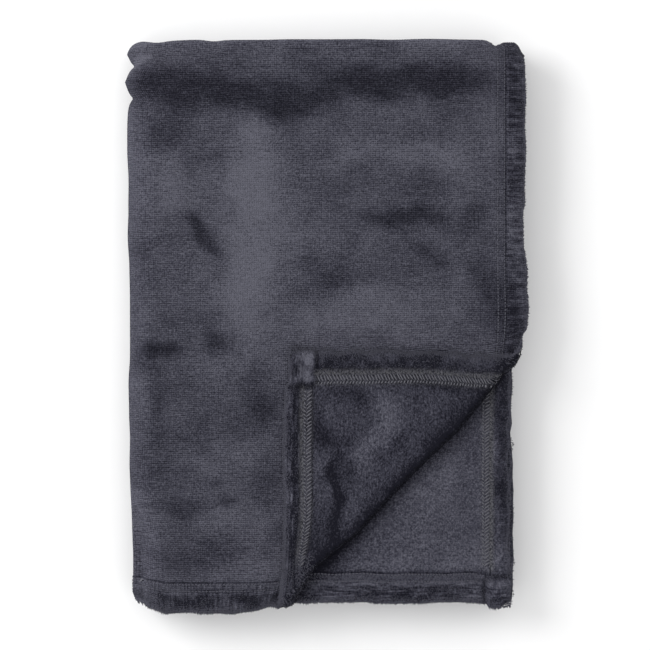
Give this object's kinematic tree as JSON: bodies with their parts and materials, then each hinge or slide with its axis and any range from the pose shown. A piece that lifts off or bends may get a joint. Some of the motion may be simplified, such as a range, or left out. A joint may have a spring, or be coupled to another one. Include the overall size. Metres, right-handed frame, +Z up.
{
  "type": "folded throw blanket",
  "caption": "Hemmed plush fleece throw folded into a flat rectangular stack, with one corner of the top layer turned back.",
  "frame": {"origin": "under the middle of the stack, on the surface that it lies on", "axes": "+X from the spine to the open side, +Y from the hemmed ends to the top folds, +Z up"},
  "size_m": [0.3534, 0.5078, 0.052],
  "materials": {
    "fleece_face": "short brushed plush pile with fine knit ribs, slate grey",
    "fleece_back": "brushed pile on the wrong side, slate grey",
    "hem": "turned hem, puffed and rolled at its folded edge",
    "sewing_thread": "spun polyester coverstitch thread, mid grey"
  },
  "bodies": {
    "back_leaf": {"ply_09": "fleece_face", "ply_10": "fleece_face", "ply_11": "fleece_face", "ply_12": "fleece_face", "ply_13": "fleece_face", "ply_14": "fleece_face", "ply_15": "fleece_face", "ply_16": "fleece_face", "spine_fold_back": "fleece_face", "rear_side_fold": "fleece_face", "top_fold_3": "fleece_face", "top_fold_4": "fleece_face", "lower_fold_3": "fleece_face", "lower_fold_4": "fleece_face", "back_end_hems": "hem", "back_end_stitches": "sewing_thread"},
    "front_leaf": {"ply_01": "fleece_face", "ply_02": "fleece_face", "ply_03": "fleece_face", "ply_04": "fleece_face", "ply_05": "fleece_face", "ply_06": "fleece_face", "ply_07": "fleece_face", "ply_08": "fleece_face", "spine_fold_front": "fleece_face", "top_fold_1": "fleece_face", "top_fold_2": "fleece_face", "lower_fold_1": "fleece_face", "lower_fold_2": "fleece_face", "top_side_hem": "hem", "top_end_hem": "hem", "second_side_hem": "hem", "second_end_hem": "hem", "inner_side_hems": "hem", "inner_end_hems": "hem", "crease_fold_under": "fleece_face", "top_side_stitches": "sewing_thread", "top_end_stitches": "sewing_thread", "second_side_stitches": "sewing_thread", "second_end_stitches": "sewing_thread", "inner_side_stitches": "sewing_thread", "inner_end_stitches": "sewing_thread"},
    "turned_corner": {"crease_fold_over": "fleece_face", "corner_panel": "fleece_back", "corner_side_hem": "hem", "corner_end_hem": "hem", "corner_side_stitches": "sewing_thread", "corner_end_stitches": "sewing_thread"}
  },
  "joints": [
    {"name": "last_fold", "type": "hinge", "parent": "back_leaf", "child": "front_leaf", "pos_m": [-0.15222, 0, 0.0242], "axis": [0, -1, 0], "range_deg": [0, 178], "deforming": ["spine_fold_front", "spine_fold_back"]},
    {"name": "corner_turn", "type": "hinge", "parent": "front_leaf", "child": "turned_corner", "pos_m": [-0.03961, -0.25175, 0.04885], "axis": [0.6749, 0.7379, 0], "range_deg": [0, 180], "deforming": ["crease_fold_under", "crease_fold_over"]}
  ]
}
